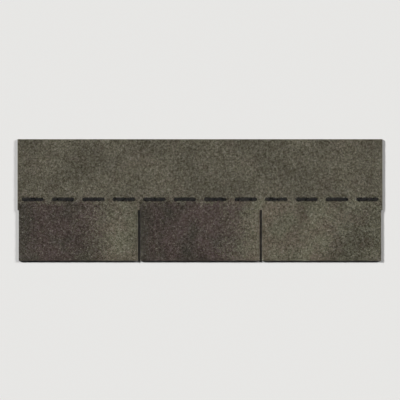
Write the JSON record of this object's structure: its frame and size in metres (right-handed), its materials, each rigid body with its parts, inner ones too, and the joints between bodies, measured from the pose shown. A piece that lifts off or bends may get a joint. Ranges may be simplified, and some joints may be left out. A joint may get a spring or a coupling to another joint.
{
  "type": "asphalt shingle",
  "caption": "Flat strip asphalt roof shingle with tabs parted by narrow slots, seal dashes on its face and a release film on its back.",
  "frame": {"origin": "middle of the strip, on the plane of its back, where it rests on the roof deck", "axes": "+X along the strip's length, +Y from the butt edge of the tabs to the top edge, +Z out of the granule-covered weather face"},
  "size_m": [0.9144, 0.3048, 0.0039],
  "materials": {
    "granule_sheet": "matte",
    "seal_asphalt": "satin",
    "release_film": "gloss"
  },
  "bodies": {
    "root": {"shingle_sheet": "granule_sheet", "seal_dashes": "seal_asphalt", "release_film": "release_film"}
  },
  "joints": []
}
